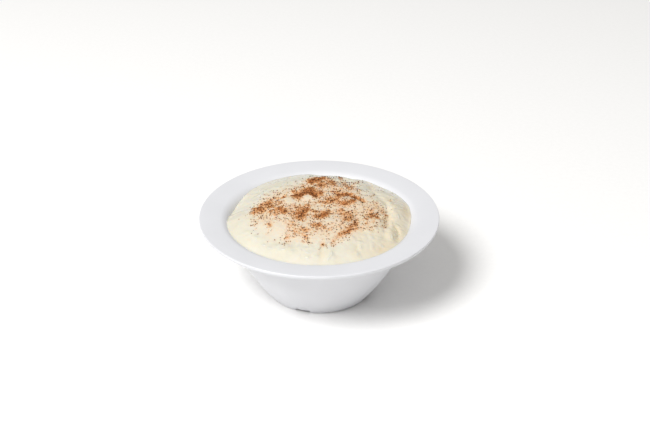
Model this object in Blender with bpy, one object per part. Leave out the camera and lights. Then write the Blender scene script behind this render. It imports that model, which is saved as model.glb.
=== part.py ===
"""A white wide-rimmed bowl filled with a heaped helping of rice pudding.

Two pieces, both in metres with +Z up:
  bowl     a turned shell: sloping rim, rounded well, foot ring with four drain notches
  pudding  one solid that fills the well and rises above it in soft, uneven lobes

The origin is the centre of the foot, on the surface that the bowl stands on. The front is
-Y, and directions round the bowl are in degrees from the front towards +X.
"""

import math

import bmesh
import bpy

MM = 0.001
SEGMENTS = 72
BOWL_SHARP_ANGLE = 40.0
PUDDING_SHARP_ANGLE = 50.0

# Materials: linear colour and roughness
BOWL_LOOK = ((0.80, 0.81, 0.83), 0.25)
PUDDING_LOOK = ((0.83, 0.76, 0.60), 0.35)

# Bowl: rim
RIM_RADIUS = 75.0 * MM
RIM_HEIGHT = 53.0 * MM
RIM_SLOPE = math.radians(6.0)
RIM_THICKNESS = 3.0 * MM
LIP_TOP_ROUND = 0.5 * MM
LIP_UNDER_ROUND = 2.2 * MM

# Bowl: body, an arc that runs from the foot out to the underside of the rim
FOOT_RADIUS = 33.4 * MM
BODY_TOP_RADIUS = 59.5 * MM
BODY_TOP_HEIGHT = 48.4 * MM
BODY_BULGE = 2.1 * MM
WALL = 2.6 * MM
ARC_STEPS = 4

# Bowl: well, foot ring and the roundings between them; the well's wall is arc above FLOOR_RISE
FLOOR_HEIGHT = 5.5 * MM
FLOOR_ROUND = 9.0 * MM
FLOOR_RISE = 6.3 * MM
WELL_EDGE_ROUND = 7.0 * MM
UNDER_RIM_ROUND = 2.5 * MM
FOOT_RING_WIDTH = 3.2 * MM
FOOT_RECESS = 3.0 * MM
FOOT_ROUND = 1.4 * MM

# Mesh steps along a rounding: one for each length of radius, and never fewer than the least
ROUND_STEP = 1.5 * MM
LEAST_ROUND_STEPS = 2

# Bowl: drain notches, two mirrored pairs in the foot ring
NOTCH_WIDTH = 9.0 * MM
NOTCH_HEIGHT = 2.5 * MM
NOTCH_PAIRS = (21.0, 201.0)
NOTCH_SPREAD = 38.5
NOTCH_CUTTER_LENGTH = 10.0 * MM

# Pudding: the mound, and how fast its unevenness fades towards the wall
GAP = 0.3 * MM
CROWN = 57.0 * MM
SHOULDER = 3.0
LOBE_FALL = 1.5
CALM_EDGE = 10
TOP_RINGS = 20
WALL_RINGS = 8
WALL_RING_CROWDING = 2

# Height at which the pudding meets the wall: (direction in degrees, height in mm)
SHORE = (
    (0, 50.6), (30, 50.8), (50, 50.6), (66, 49.4), (76, 48.9), (85, 49.2), (94, 49.9),
    (104, 50.4), (120, 50.2), (136, 49.7), (150, 50.1), (158, 49.6), (167, 50.0), (178, 49.8),
    (189, 50.6), (215, 50.4), (229, 50.0), (237, 49.4), (247, 48.3), (256, 47.5), (262, 47.8),
    (268, 49.0), (277, 50.0), (290, 50.3), (320, 50.0), (340, 50.4),
)

# Soft lobes in mm: centre x, y, half length, half width, turn in degrees, rise
LOBES = (
    (2.0, 43.0, 13.0, 8.0, 10.0, 1.6),
    (20.0, 46.0, 6.0, 5.0, 0.0, 1.3),
    (26.5, 37.0, 12.0, 5.5, 95.0, 0.3),
    (43.0, 26.0, 9.0, 7.0, -45.0, 0.8),
    (49.0, 0.0, 14.0, 6.0, 92.0, 1.4),
    (43.5, -26.0, 8.0, 3.8, 98.0, 0.9),
    (52.0, -24.0, 7.0, 3.0, 75.0, 0.8),
    (29.0, -44.0, 10.0, 6.0, 35.0, 0.9),
    (21.0, -51.0, 3.2, 2.8, 20.0, 1.0),
    (7.0, -54.0, 5.0, 3.0, 95.0, 0.6),
    (-10.0, -49.0, 12.0, 6.0, -5.0, 0.6),
    (-23.4, -45.0, 6.5, 5.0, -24.0, 1.4),
    (-40.0, -30.0, 9.0, 5.0, -50.0, 0.6),
    (-47.0, -5.0, 12.0, 6.0, 85.0, 0.6),
    (-39.0, 15.0, 11.0, 6.0, 70.0, 0.8),
    (-25.0, 38.0, 12.0, 7.0, 30.0, 0.7),
    (-20.0, 10.0, 5.5, 3.8, 60.0, 0.9),
    (-7.0, 12.5, 6.0, 4.6, 10.0, 1.0),
    (19.0, 7.5, 8.0, 4.6, -35.0, 1.0),
    (8.0, 30.0, 9.0, 5.0, 0.0, 0.8),
    (-24.0, -20.0, 12.0, 8.0, 20.0, 0.5),
    (12.0, -20.0, 12.0, 8.0, -20.0, 0.6),
    (32.0, -18.0, 9.0, 6.0, 70.0, 0.8),
)

# Furrows between the lobes in mm: half width, depth, and the points that each runs through
FURROWS = (
    (3.0, 0.9, ((32.0, 50.0), (34.0, 40.0), (34.0, 28.0))),
    (3.0, 0.5, ((34.0, 28.0), (37.5, 20.0), (42.0, 10.0))),
    (3.0, 0.9, ((42.0, 10.0), (43.0, 2.0), (43.0, -8.0), (41.0, -18.0))),
    (3.0, 0.6, ((41.0, -18.0), (39.0, -32.0))),
    (2.6, 0.9, ((47.6, -17.0), (48.2, -24.0), (47.6, -30.0))),
    (2.6, 0.4, ((1.8, -45.0), (1.4, -51.0), (1.8, -58.0))),
    (2.6, 0.9, ((-19.0, 18.5), (-14.5, 19.0), (-10.0, 22.5), (-5.0, 22.0), (-2.0, 15.0))),
    (2.6, 0.7, ((11.0, 19.5), (20.0, 18.0), (28.0, 9.0))),
    (2.6, 0.5, ((22.0, -8.0), (23.0, -20.0), (12.0, -34.0))),
)


def clear_scene():
    for item in list(bpy.data.objects):
        bpy.data.objects.remove(item, do_unlink=True)


def plain_material(name, colour, roughness):
    """A Principled material, colour in linear values."""
    material = bpy.data.materials.new(name)
    material.use_nodes = True
    shader = material.node_tree.nodes["Principled BSDF"]
    shader.inputs["Base Color"].default_value = (*colour, 1.0)
    shader.inputs["Roughness"].default_value = roughness
    shader.inputs["Metallic"].default_value = 0.0
    return material


def body_arc():
    """Centre (radius, height) and radius of the arc that the outer wall follows."""
    chord_r = BODY_TOP_RADIUS - FOOT_RADIUS
    chord_z = BODY_TOP_HEIGHT
    chord = math.hypot(chord_r, chord_z)
    arc_radius = chord * chord / (8.0 * BODY_BULGE) + BODY_BULGE / 2.0
    reach = arc_radius - BODY_BULGE
    centre_r = FOOT_RADIUS + chord_r / 2.0 - reach * chord_z / chord
    centre_z = chord_z / 2.0 + reach * chord_r / chord
    return centre_r, centre_z, arc_radius


def wall_radius(height, inset=0.0):
    """Radius of the body's arc at a height, moved inwards by inset."""
    centre_r, centre_z, arc_radius = body_arc()
    return centre_r + math.sqrt((arc_radius - inset) ** 2 - (height - centre_z) ** 2)


def rounded(corners):
    """Outline points (radius, height) of a path whose corners (r, z, rounding) are filleted."""
    points = []
    for index, (r, z, rounding) in enumerate(corners):
        if rounding == 0.0:
            points.append((r, z))
            continue
        before = corners[index - 1]
        after = corners[index + 1]
        in_r, in_z = unit(before[0] - r, before[1] - z)
        out_r, out_z = unit(after[0] - r, after[1] - z)
        half = math.acos(max(-1.0, min(1.0, in_r * out_r + in_z * out_z))) / 2.0
        setback = rounding / math.tan(half)
        middle_r, middle_z = unit(in_r + out_r, in_z + out_z)
        centre_r = r + middle_r * rounding / math.sin(half)
        centre_z = z + middle_z * rounding / math.sin(half)
        start = math.atan2(z + in_z * setback - centre_z, r + in_r * setback - centre_r)
        end = math.atan2(z + out_z * setback - centre_z, r + out_r * setback - centre_r)
        sweep = (end - start + math.pi) % (2.0 * math.pi) - math.pi
        steps = max(LEAST_ROUND_STEPS, round(rounding / ROUND_STEP))
        for step in range(steps + 1):
            angle = start + sweep * step / steps
            points.append((centre_r + rounding * math.cos(angle), centre_z + rounding * math.sin(angle)))
    return points


def unit(a, b):
    length = math.hypot(a, b)
    return a / length, b / length


def steps_between(low, high, count):
    """count heights evenly spread strictly between low and high."""
    return [low + (high - low) * (step + 1) / (count + 1) for step in range(count)]


def well_corners(inset):
    """Corners of the well's section, from the middle of its floor up, over its edge, to the rim.

    inset moves the section inwards, for what lies in the well.
    """
    floor = FLOOR_HEIGHT + inset
    rim_fall = math.tan(RIM_SLOPE)
    edge_radius = wall_radius(RIM_HEIGHT - (RIM_RADIUS - BODY_TOP_RADIUS) * rim_fall, WALL + inset)
    edge_height = RIM_HEIGHT - (RIM_RADIUS - edge_radius) * rim_fall + inset / math.cos(RIM_SLOPE)
    corners = [
        (0.0, floor, 0.0),
        (wall_radius(floor, WALL + inset), floor, FLOOR_ROUND - inset),
    ]
    for height in steps_between(floor + FLOOR_RISE, edge_height - WELL_EDGE_ROUND, ARC_STEPS):
        corners.append((wall_radius(height, WALL + inset), height, 0.0))
    corners.append((edge_radius, edge_height, WELL_EDGE_ROUND + inset))
    corners.append((RIM_RADIUS, RIM_HEIGHT + inset / math.cos(RIM_SLOPE), 0.0))
    return corners


def bowl_outline():
    """The bowl's section, from the axis under the base, out and up, and back to the axis."""
    corners = [
        (0.0, FOOT_RECESS, 0.0),
        (FOOT_RADIUS - FOOT_RING_WIDTH, FOOT_RECESS, 0.0),
        (FOOT_RADIUS - FOOT_RING_WIDTH, 0.0, 0.0),
        (FOOT_RADIUS, 0.0, FOOT_ROUND),
    ]
    corners += [(wall_radius(z), z, 0.0) for z in steps_between(0.0, BODY_TOP_HEIGHT, ARC_STEPS)]
    corners += [
        (BODY_TOP_RADIUS, BODY_TOP_HEIGHT, UNDER_RIM_ROUND),
        (RIM_RADIUS, RIM_HEIGHT - RIM_THICKNESS, LIP_UNDER_ROUND),
        (RIM_RADIUS, RIM_HEIGHT, LIP_TOP_ROUND),
    ]
    corners += reversed(well_corners(0.0)[:-1])
    return rounded(corners)


def direction(step):
    """Unit vector (x, y) of one of the SEGMENTS directions, 0 at the front."""
    angle = 2.0 * math.pi * step / SEGMENTS
    return math.sin(angle), -math.cos(angle)


def close_rings(mesh, rings, first_pole, last_pole):
    """Faces between rings of vertices, closed by a fan to a pole at each end."""
    for lower, upper in zip(rings, rings[1:]):
        for step in range(SEGMENTS):
            after = (step + 1) % SEGMENTS
            mesh.faces.new((lower[step], lower[after], upper[after], upper[step]))
    for step in range(SEGMENTS):
        after = (step + 1) % SEGMENTS
        mesh.faces.new((first_pole, rings[0][after], rings[0][step]))
        mesh.faces.new((last_pole, rings[-1][step], rings[-1][after]))


def finish_object(name, mesh, material, sharp_angle):
    """Turn a bmesh into a smooth-shaded object whose edges stay sharp past an angle."""
    bmesh.ops.recalc_face_normals(mesh, faces=mesh.faces)
    data = bpy.data.meshes.new(name)
    mesh.to_mesh(data)
    mesh.free()
    data.materials.append(material)
    data.shade_smooth()
    data.set_sharp_from_angle(angle=math.radians(sharp_angle))
    item = bpy.data.objects.new(name, data)
    bpy.context.scene.collection.objects.link(item)
    return item


def make_bowl(material):
    mesh = bmesh.new()
    outline = bowl_outline()
    rings = []
    for r, z in outline[1:-1]:
        ring = [mesh.verts.new((r * x, r * y, z)) for x, y in map(direction, range(SEGMENTS))]
        rings.append(ring)
    under = mesh.verts.new((0.0, 0.0, outline[0][1]))
    floor = mesh.verts.new((0.0, 0.0, outline[-1][1]))
    close_rings(mesh, rings, under, floor)
    return finish_object("bowl", mesh, material, BOWL_SHARP_ANGLE)


def cut_notches(bowl):
    """Cut the drain notches through the foot ring."""
    middle = FOOT_RADIUS - FOOT_RING_WIDTH / 2.0
    for pair in NOTCH_PAIRS:
        for side in (-1, 1):
            angle = math.radians(pair + side * NOTCH_SPREAD)
            x, y = math.sin(angle), -math.cos(angle)
            bpy.ops.mesh.primitive_cube_add(size=1.0, location=(middle * x, middle * y, 0.0))
            cutter = bpy.context.object
            cutter.name = "notch_cutter"
            cutter.dimensions = (NOTCH_CUTTER_LENGTH, NOTCH_WIDTH, NOTCH_HEIGHT * 2.0)
            cutter.rotation_euler = (0.0, 0.0, angle - math.pi / 2.0)
            cutter.hide_render = True
            cutter.display_type = "WIRE"
            notch = bowl.modifiers.new("notch", "BOOLEAN")
            notch.operation = "DIFFERENCE"
            notch.solver = "EXACT"
            notch.object = cutter


def shore_height(degrees):
    """Height of the pudding at the wall in a direction, eased between the SHORE entries."""
    degrees %= 360.0
    entries = list(SHORE) + [(SHORE[0][0] + 360, SHORE[0][1])]
    for (start, low), (end, high) in zip(entries, entries[1:]):
        if start <= degrees <= end:
            part = (degrees - start) / (end - start)
            ease = part * part * (3.0 - 2.0 * part)
            return (low + (high - low) * ease) * MM
    raise ValueError("direction outside the circle")


def lobe_rise(x, y):
    """Sum of the soft lobes at a point, in metres."""
    rise = 0.0
    for centre_x, centre_y, half_length, half_width, turn, height in LOBES:
        dx, dy = x / MM - centre_x, y / MM - centre_y
        cos_turn, sin_turn = math.cos(math.radians(turn)), math.sin(math.radians(turn))
        along = (dx * cos_turn + dy * sin_turn) / half_length
        across = (dy * cos_turn - dx * sin_turn) / half_width
        rise += height * MM * math.exp(-(along * along + across * across) ** LOBE_FALL)
    return rise


def distance_to_run(x, y, points):
    """Distance in mm of a point to the nearest of the straight runs between points."""
    nearest = math.inf
    for (start_x, start_y), (end_x, end_y) in zip(points, points[1:]):
        run_x, run_y = end_x - start_x, end_y - start_y
        dx, dy = x / MM - start_x, y / MM - start_y
        part = (dx * run_x + dy * run_y) / (run_x * run_x + run_y * run_y)
        part = max(0.0, min(1.0, part))
        nearest = min(nearest, math.hypot(dx - part * run_x, dy - part * run_y))
    return nearest


def furrow_depth(x, y):
    """Depth of the deepest furrow at a point, in metres."""
    depth = 0.0
    for half_width, deep, points in FURROWS:
        distance = distance_to_run(x, y, points) / half_width
        depth = max(depth, deep * MM * math.exp(-distance * distance))
    return depth


def top_point(part, shore, shore_radius, step):
    """Radius and height of the pudding's top: part is 0 in the middle and 1 at the wall."""
    radius = shore_radius * part
    x, y = direction(step)
    mound = shore + (CROWN - shore) * (1.0 - part ** SHOULDER)
    uneven = lobe_rise(x * radius, y * radius) - furrow_depth(x * radius, y * radius)
    return radius, mound + uneven * (1.0 - part ** CALM_EDGE)


def radius_at(outline, height):
    """Radius where an outline that rises from point to point reaches a height."""
    for (low_r, low_z), (high_r, high_z) in zip(outline, outline[1:]):
        if low_z < high_z and low_z <= height <= high_z:
            return low_r + (high_r - low_r) * (height - low_z) / (high_z - low_z)
    raise ValueError("height outside the outline")


def pudding_outline(step):
    """The pudding's section in one direction, from the middle of its base to its crown."""
    wall = rounded(well_corners(GAP))
    shore = shore_height(360.0 * step / SEGMENTS)
    points = [(r, z) for r, z in wall if z < FLOOR_HEIGHT + FLOOR_RISE]
    low = points[-1][1]
    for level in range(1, WALL_RINGS):
        height = shore - (shore - low) * (1.0 - level / WALL_RINGS) ** WALL_RING_CROWDING
        points.append((radius_at(wall, height), height))
    shore_radius = radius_at(wall, shore)
    for level in range(TOP_RINGS + 1):
        points.append(top_point(1.0 - level / TOP_RINGS, shore, shore_radius, step))
    return points


def make_pudding(material):
    mesh = bmesh.new()
    sections = [pudding_outline(step) for step in range(SEGMENTS)]
    rings = []
    for level in range(1, len(sections[0]) - 1):
        ring = []
        for step, section in enumerate(sections):
            x, y = direction(step)
            r, z = section[level]
            ring.append(mesh.verts.new((r * x, r * y, z)))
        rings.append(ring)
    base = mesh.verts.new((0.0, 0.0, sections[0][0][1]))
    crown = mesh.verts.new((0.0, 0.0, sections[0][-1][1]))
    close_rings(mesh, rings, base, crown)
    return finish_object("pudding", mesh, material, PUDDING_SHARP_ANGLE)


def main():
    clear_scene()
    bowl = make_bowl(plain_material("bowl_glaze", *BOWL_LOOK))
    cut_notches(bowl)
    make_pudding(plain_material("pudding_cream", *PUDDING_LOOK))


main()
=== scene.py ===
"""Looks of a bowl of rice pudding dusted with cinnamon.

Lengths are in millimetres until a mesh is made, which scales them to metres. The bowl's axis
is +Z, its front is -Y, and directions round it are in degrees from the front towards +X.
"""

import math

import bmesh
import bpy
import numpy as np
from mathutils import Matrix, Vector


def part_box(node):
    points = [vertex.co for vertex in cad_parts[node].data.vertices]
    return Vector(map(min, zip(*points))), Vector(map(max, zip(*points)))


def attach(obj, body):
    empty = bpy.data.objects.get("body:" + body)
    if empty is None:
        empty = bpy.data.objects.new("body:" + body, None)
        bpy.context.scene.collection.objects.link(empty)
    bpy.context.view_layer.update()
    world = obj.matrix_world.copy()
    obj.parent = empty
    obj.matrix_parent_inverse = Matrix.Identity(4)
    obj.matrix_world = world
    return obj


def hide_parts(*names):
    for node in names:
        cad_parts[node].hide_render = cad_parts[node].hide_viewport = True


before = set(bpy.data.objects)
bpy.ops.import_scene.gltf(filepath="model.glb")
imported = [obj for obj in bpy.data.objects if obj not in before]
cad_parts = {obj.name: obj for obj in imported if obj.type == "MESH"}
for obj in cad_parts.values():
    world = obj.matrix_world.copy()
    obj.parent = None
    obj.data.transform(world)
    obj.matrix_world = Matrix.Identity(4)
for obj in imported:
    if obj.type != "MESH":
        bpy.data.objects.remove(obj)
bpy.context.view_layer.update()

MM = 0.001
BOWL_LOW, BOWL_HIGH = [np.array(corner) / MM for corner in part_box("bowl")]

# Bowl: the same driving sizes as the CAD bowl
RIM_RADIUS = (BOWL_HIGH[0] - BOWL_LOW[0]) / 2.0
RIM_HEIGHT = 53.0
RIM_SLOPE = math.radians(6.0)
RIM_THICKNESS = 3.0
LIP_TOP_ROUND = 0.5
LIP_UNDER_ROUND = 2.2
FOOT_RADIUS = 33.4
BODY_TOP_RADIUS = 59.5
BODY_TOP_HEIGHT = 48.4
BODY_BULGE = 2.1
WALL = 2.6
FLOOR_HEIGHT = 5.5
FLOOR_ROUND = 9.0
WELL_EDGE_ROUND = 7.0
UNDER_RIM_ROUND = 2.5
FOOT_RING_WIDTH = 3.2
FOOT_RECESS = 3.0
FOOT_ROUND = 1.4
FOOT_INNER_ROUND = 0.6
NOTCH_WIDTH = 9.0
NOTCH_HEIGHT = 2.5
NOTCH_SIDE = 0.35
NOTCH_PAIRS = (21.0, 201.0)
NOTCH_SPREAD = 38.5

# Bowl mesh: steps round it, up each wall and round each edge
BOWL_SEGMENTS = 288
ARC_STEPS = 20
ROUND_STEPS = 8
# where the steps up the well's wall start, in floor roundings above the floor
WELL_STEPS_FROM = 0.7
# directions at a notch's side, in NOTCH_SIDE, and the room they need, in even spacings
SIDE_STEPS = (-1, -0.5, 0, 0.5, 1)
SIDE_ROOM = 0.35
# how far inwards of the foot ring the notches still lift the base
NOTCH_OVERRUN = 1.0

# Pudding: the mound, and powers with which its broad and fine shapes fade at the wall
CROWN = 57.0
SHOULDER = 3.0
BROAD_FADE = 10
FINE_FADE = 16

# Pudding mesh: the top, which reaches a little into the wall, and the skirt inside the well,
# which starts a drop below the shore
GRID_CELLS = 270
TOP_OVERLAP = 0.05
SKIRT_GAP = 0.3
SKIRT_RINGS = 8
SKIRT_DROP = 0.4
SKIRT_FALL = 1.2

# Height at which the pudding meets the wall: (direction in degrees, height)
SHORE = (
    (0, 50.6), (30, 50.8), (50, 50.6), (66, 49.4), (76, 48.9), (85, 49.2), (94, 49.9),
    (104, 50.4), (120, 50.2), (136, 49.7), (150, 50.1), (158, 49.6), (167, 50.0), (178, 49.8),
    (189, 50.6), (215, 50.4), (229, 50.0), (237, 49.4), (247, 48.3), (256, 47.5), (262, 47.8),
    (268, 49.0), (277, 50.0), (290, 50.3), (320, 50.0), (340, 50.4),
)

# Soft lobes: how steeply they fall, and centre x, y, half length, half width, turn in degrees,
# rise
LOBE_FALL = 1.5
LOBES = (
    (2.0, 43.0, 13.0, 8.0, 10.0, 1.6),
    (20.0, 46.0, 6.0, 5.0, 0.0, 1.3),
    (26.5, 37.0, 12.0, 5.5, 95.0, 0.3),
    (43.0, 26.0, 9.0, 7.0, -45.0, 0.8),
    (49.0, 0.0, 14.0, 6.0, 92.0, 1.4),
    (43.5, -26.0, 8.0, 3.8, 98.0, 0.9),
    (52.0, -24.0, 7.0, 3.0, 75.0, 0.8),
    (29.0, -44.0, 10.0, 6.0, 35.0, 0.9),
    (21.0, -51.0, 3.2, 2.8, 20.0, 1.0),
    (7.0, -54.0, 5.0, 3.0, 95.0, 0.6),
    (-10.0, -49.0, 12.0, 6.0, -5.0, 0.6),
    (-23.4, -45.0, 6.5, 5.0, -24.0, 1.4),
    (-40.0, -30.0, 9.0, 5.0, -50.0, 0.6),
    (-47.0, -5.0, 12.0, 6.0, 85.0, 0.6),
    (-39.0, 15.0, 11.0, 6.0, 70.0, 0.8),
    (-25.0, 38.0, 12.0, 7.0, 30.0, 0.7),
    (-20.0, 10.0, 5.5, 3.8, 60.0, 0.9),
    (-7.0, 12.5, 6.0, 4.6, 10.0, 1.0),
    (19.0, 7.5, 8.0, 4.6, -35.0, 1.0),
    (8.0, 30.0, 9.0, 5.0, 0.0, 0.8),
    (-24.0, -20.0, 12.0, 8.0, 20.0, 0.5),
    (12.0, -20.0, 12.0, 8.0, -20.0, 0.6),
    (32.0, -18.0, 9.0, 6.0, 70.0, 0.8),
)

# Furrows between the lobes: half width, depth, and the points that each runs through
FURROWS = (
    (2.3, 1.0, ((32.0, 50.0), (34.0, 40.0), (34.0, 28.0))),
    (2.0, 0.5, ((34.0, 28.0), (37.5, 20.0), (42.0, 10.0))),
    (2.3, 1.1, ((42.0, 10.0), (43.0, 2.0), (43.0, -8.0), (41.0, -18.0))),
    (2.2, 0.7, ((41.0, -18.0), (39.0, -32.0))),
    (1.8, 1.1, ((47.6, -17.0), (48.2, -24.0), (47.6, -30.0))),
    (1.7, 0.4, ((1.8, -45.0), (1.4, -51.0), (1.8, -58.0))),
    (1.4, 0.6, ((36.0, -44.0), (38.0, -41.0))),
    (1.4, 0.4, ((22.0, -45.0), (23.0, -42.5))),
    (1.8, 1.2, ((-19.0, 18.5), (-14.5, 19.0), (-10.0, 22.5), (-5.0, 22.0), (-2.0, 15.0))),
    (1.6, 0.8, ((11.0, 19.5), (20.0, 18.0), (28.0, 9.0))),
    (1.5, 0.7, ((-26.0, 13.0), (-22.0, 16.5))),
    (1.8, 0.6, ((22.0, -8.0), (23.0, -20.0), (12.0, -34.0))),
)

# Dip next to the wall, where the cream turns up to meet it: how deep, how far from the wall
MENISCUS_DEPTH = 0.3
MENISCUS_REACH = 1.5

# Zones of the helping: how far out to that side each starts, and over what width it comes in
RIGHT_ZONE = (12.0, 28.0)
BACK_ZONE = (10.0, 32.0)
FRONT_ZONE = (22.0, 20.0)

# Unevenness of the cream: height, and the size and random seed of its lumps
WAVE_HEIGHT = 0.16
WAVES_RIGHT = 0.34
WAVES_FRONT = 0.2
WAVES = (8.0, 5)
RIPPLE_HEIGHT = 0.05
RIPPLES = (3.1, 6)

# Rice grains that swell the cream from below: most on the right, least on the left
GRAIN_SEED = 11
GRAIN_COUNT = 560
GRAIN_FIELD = 57.0
GRAIN_LENGTH = (5.0, 7.2)
GRAIN_WIDTH = 2.3
GRAIN_SPACING = 3.3
GRAIN_COAT = 1.35
GRAIN_RISE = (0.02, 0.38)
SMOOTH_SHARE = 0.5
GRAINS_RIGHT = 1.1
GRAINS_FRONT = 0.9
BLEND_POWER = 3.0
TRIES_PER_SPOT = 30

# Loose grains that lie bare in the surface: those that rise most, how far their backs stand
# clear, how far out to the wall they go, and their shape
RICE_SEED = 17
SHOWN_GRAINS = 110
SHOWN_ABOVE = (0.04, 0.16)
SHOWN_WITHIN = 0.93
RICE_RINGS = 16
RICE_SIDES = 14
RICE_WIDTH = (0.84, 1.0)
RICE_BEND = 0.25
RICE_TILT = 0.05
RICE_BLUNTNESS = 2.3
RICE_TAPER = 0.10
RICE_FLATNESS = 0.9

# Cinnamon: patches, as centre x, y, half length, half width, turn in degrees, and density,
# which is below 0 where the cream is cleaner
DUST_PATCHES = (
    # left
    (-37.6, 1.2, 3.8, 2.8, 80.0, 1.05),
    (-33.5, 6.0, 6.2, 4.0, 60.0, 0.6),
    (-28.5, 2.0, 4.5, 2.6, 0.0, 0.5),
    (-33.0, -2.8, 6.0, 1.8, -10.0, 0.45),
    (-31.5, 13.5, 4.5, 3.8, 90.0, 0.22),
    (-34.0, 20.5, 1.2, 2.0, 0.0, 0.4),
    (-24.5, 7.5, 2.6, 2.2, 0.0, 0.4),
    (-42.0, -3.8, 1.1, 1.6, 0.0, 0.9),
    (-41.5, 4.0, 1.1, 2.4, 0.0, 0.5),
    (-23.6, -2.8, 4.0, 2.9, -60.0, 1.7),
    (-27.5, -7.6, 1.6, 1.2, 0.0, 0.8),
    (-22.5, 15.2, 1.3, 1.7, 0.0, 1.5),
    (-39.8, -15.5, 1.6, 4.2, 10.0, 0.5),
    (-30.5, -22.0, 1.8, 4.2, 12.0, 0.5),
    # left of the middle
    (-11.2, -9.8, 4.8, 3.0, 80.0, 1.5),
    (-8.4, -3.0, 5.0, 2.8, 75.0, 0.9),
    (-13.5, -4.0, 4.0, 2.6, 60.0, 0.4),
    (-17.0, -14.5, 4.5, 2.2, 90.0, 0.3),
    (-16.5, 2.0, 4.0, 2.6, 0.0, 0.3),
    (-17.0, -22.5, 2.2, 3.0, 0.0, 0.2),
    (-3.0, -5.2, 1.1, 1.3, 0.0, 1.5),
    (-1.5, -12.0, 2.0, 3.0, 0.0, 0.6),
    (2.6, -9.0, 4.4, 2.8, 70.0, 1.6),
    (-1.0, -22.0, 4.0, 2.2, -10.0, 0.9),
    (-12.5, -30.0, 3.8, 3.0, 60.0, 0.28),
    (-8.5, -26.5, 3.0, 3.0, 0.0, 0.24),
    (-18.8, -34.5, 1.8, 4.6, 8.0, 0.3),
    (-8.0, -36.5, 1.8, 3.2, 0.0, 0.35),
    (2.4, -42.2, 1.3, 1.5, 0.0, 0.9),
    # arc behind the middle
    (-13.6, 16.0, 4.2, 3.0, 80.0, 1.45),
    (-8.0, 22.0, 3.8, 2.8, 20.0, 1.6),
    (-3.8, 19.0, 5.0, 2.0, -68.0, 1.8),
    (-5.6, 26.5, 2.0, 2.2, 0.0, 0.8),
    (0.9, 20.0, 1.5, 3.0, 0.0, 1.0),
    (-16.6, 22.5, 1.0, 1.6, 0.0, 0.8),
    (6.5, 21.2, 2.6, 1.2, 0.0, 0.6),
    # back
    (-5.0, 37.8, 3.0, 3.8, 0.0, 1.5),
    (-0.2, 41.5, 3.2, 3.0, 0.0, 1.2),
    (2.4, 45.0, 1.8, 4.0, 0.0, 0.75),
    (5.0, 37.5, 5.6, 5.4, 0.0, 0.6),
    (0.6, 31.0, 1.7, 3.2, 0.0, 0.9),
    (8.6, 32.6, 1.9, 4.0, 8.0, 1.0),
    (13.6, 47.0, 1.0, 6.0, 6.0, 0.9),
    (16.0, 35.0, 1.3, 4.0, 0.0, 0.6),
    (18.8, 29.5, 1.5, 3.4, 0.0, 0.8),
    (21.8, 32.0, 1.4, 4.4, -20.0, 0.75),
    (26.0, 25.5, 0.9, 1.5, 0.0, 0.6),
    (-11.0, 32.0, 1.2, 4.0, 0.0, 0.35),
    (-15.5, 28.5, 1.2, 3.0, 0.0, 0.35),
    (8.0, 27.0, 14.0, 4.6, 0.0, 0.24),
    # middle
    (4.0, 8.6, 6.0, 4.4, 0.0, 0.6),
    (10.0, 8.0, 3.0, 2.6, 0.0, 0.5),
    (-1.6, 7.0, 1.2, 2.0, 0.0, 0.8),
    (7.6, 13.4, 1.2, 1.4, 0.0, 0.9),
    (12.0, 17.2, 1.9, 4.4, 0.0, 1.1),
    (16.2, 5.0, 3.9, 2.6, 5.0, 1.5),
    (21.4, 8.2, 1.0, 1.5, 0.0, 1.9),
    (16.6, 18.6, 3.2, 2.0, 15.0, 1.4),
    (22.3, 15.2, 1.7, 1.5, 0.0, 1.5),
    # right
    (15.0, -9.5, 5.0, 4.2, -50.0, 0.42),
    (13.8, -3.6, 1.0, 2.6, -10.0, 0.6),
    (20.6, -11.0, 1.6, 4.8, 8.0, 0.4),
    (17.0, -15.5, 2.2, 2.2, 0.0, 0.55),
    (22.3, -18.0, 1.2, 3.4, 0.0, 0.4),
    (18.6, -26.4, 5.2, 2.4, 60.0, 1.1),
    (13.2, -31.5, 3.6, 1.6, 48.0, 0.5),
    (10.0, -36.0, 3.2, 1.4, 62.0, 0.5),
    (8.6, -40.5, 2.6, 1.1, 85.0, 0.45),
    (33.0, -7.6, 4.6, 3.0, 20.0, 0.55),
    (38.0, -2.0, 2.2, 5.0, -15.0, 0.3),
    (31.0, -1.5, 2.4, 3.0, 0.0, 0.3),
    (35.6, 5.5, 2.0, 3.2, 0.0, 0.35),
    (42.3, -4.3, 0.9, 1.3, 0.0, 1.2),
    (35.9, -9.9, 0.9, 1.1, 0.0, 1.1),
    (29.4, -19.8, 0.9, 1.1, 0.0, 0.9),
    (33.4, -17.4, 0.8, 1.1, 0.0, 0.9),
    (28.4, -13.8, 0.9, 1.1, 0.0, 0.8),
    (30.0, -16.0, 5.0, 4.0, 0.0, 0.1),
    (27.0, -25.0, 5.0, 3.0, 0.0, 0.12),
    (44.8, 14.8, 0.7, 0.9, 0.0, 0.6),
    (-35.0, -11.0, 4.5, 4.0, 0.0, 0.14),
    # cleaner spots
    (-25.0, -26.0, 4.0, 5.5, 0.0, -0.5),
    (-35.3, -19.5, 2.2, 5.0, 10.0, -0.4),
    (-13.8, -40.0, 2.6, 4.0, 0.0, -0.4),
    (-1.5, -35.5, 4.0, 4.0, 0.0, -0.2),
    (26.0, -34.0, 5.0, 5.0, 0.0, -0.5),
    (7.5, -16.5, 3.0, 3.0, 0.0, -0.16),
    (-19.5, 10.0, 4.0, 4.0, 0.0, -0.35),
    (-7.6, 12.5, 2.6, 2.6, 0.0, -0.4),
)

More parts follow.
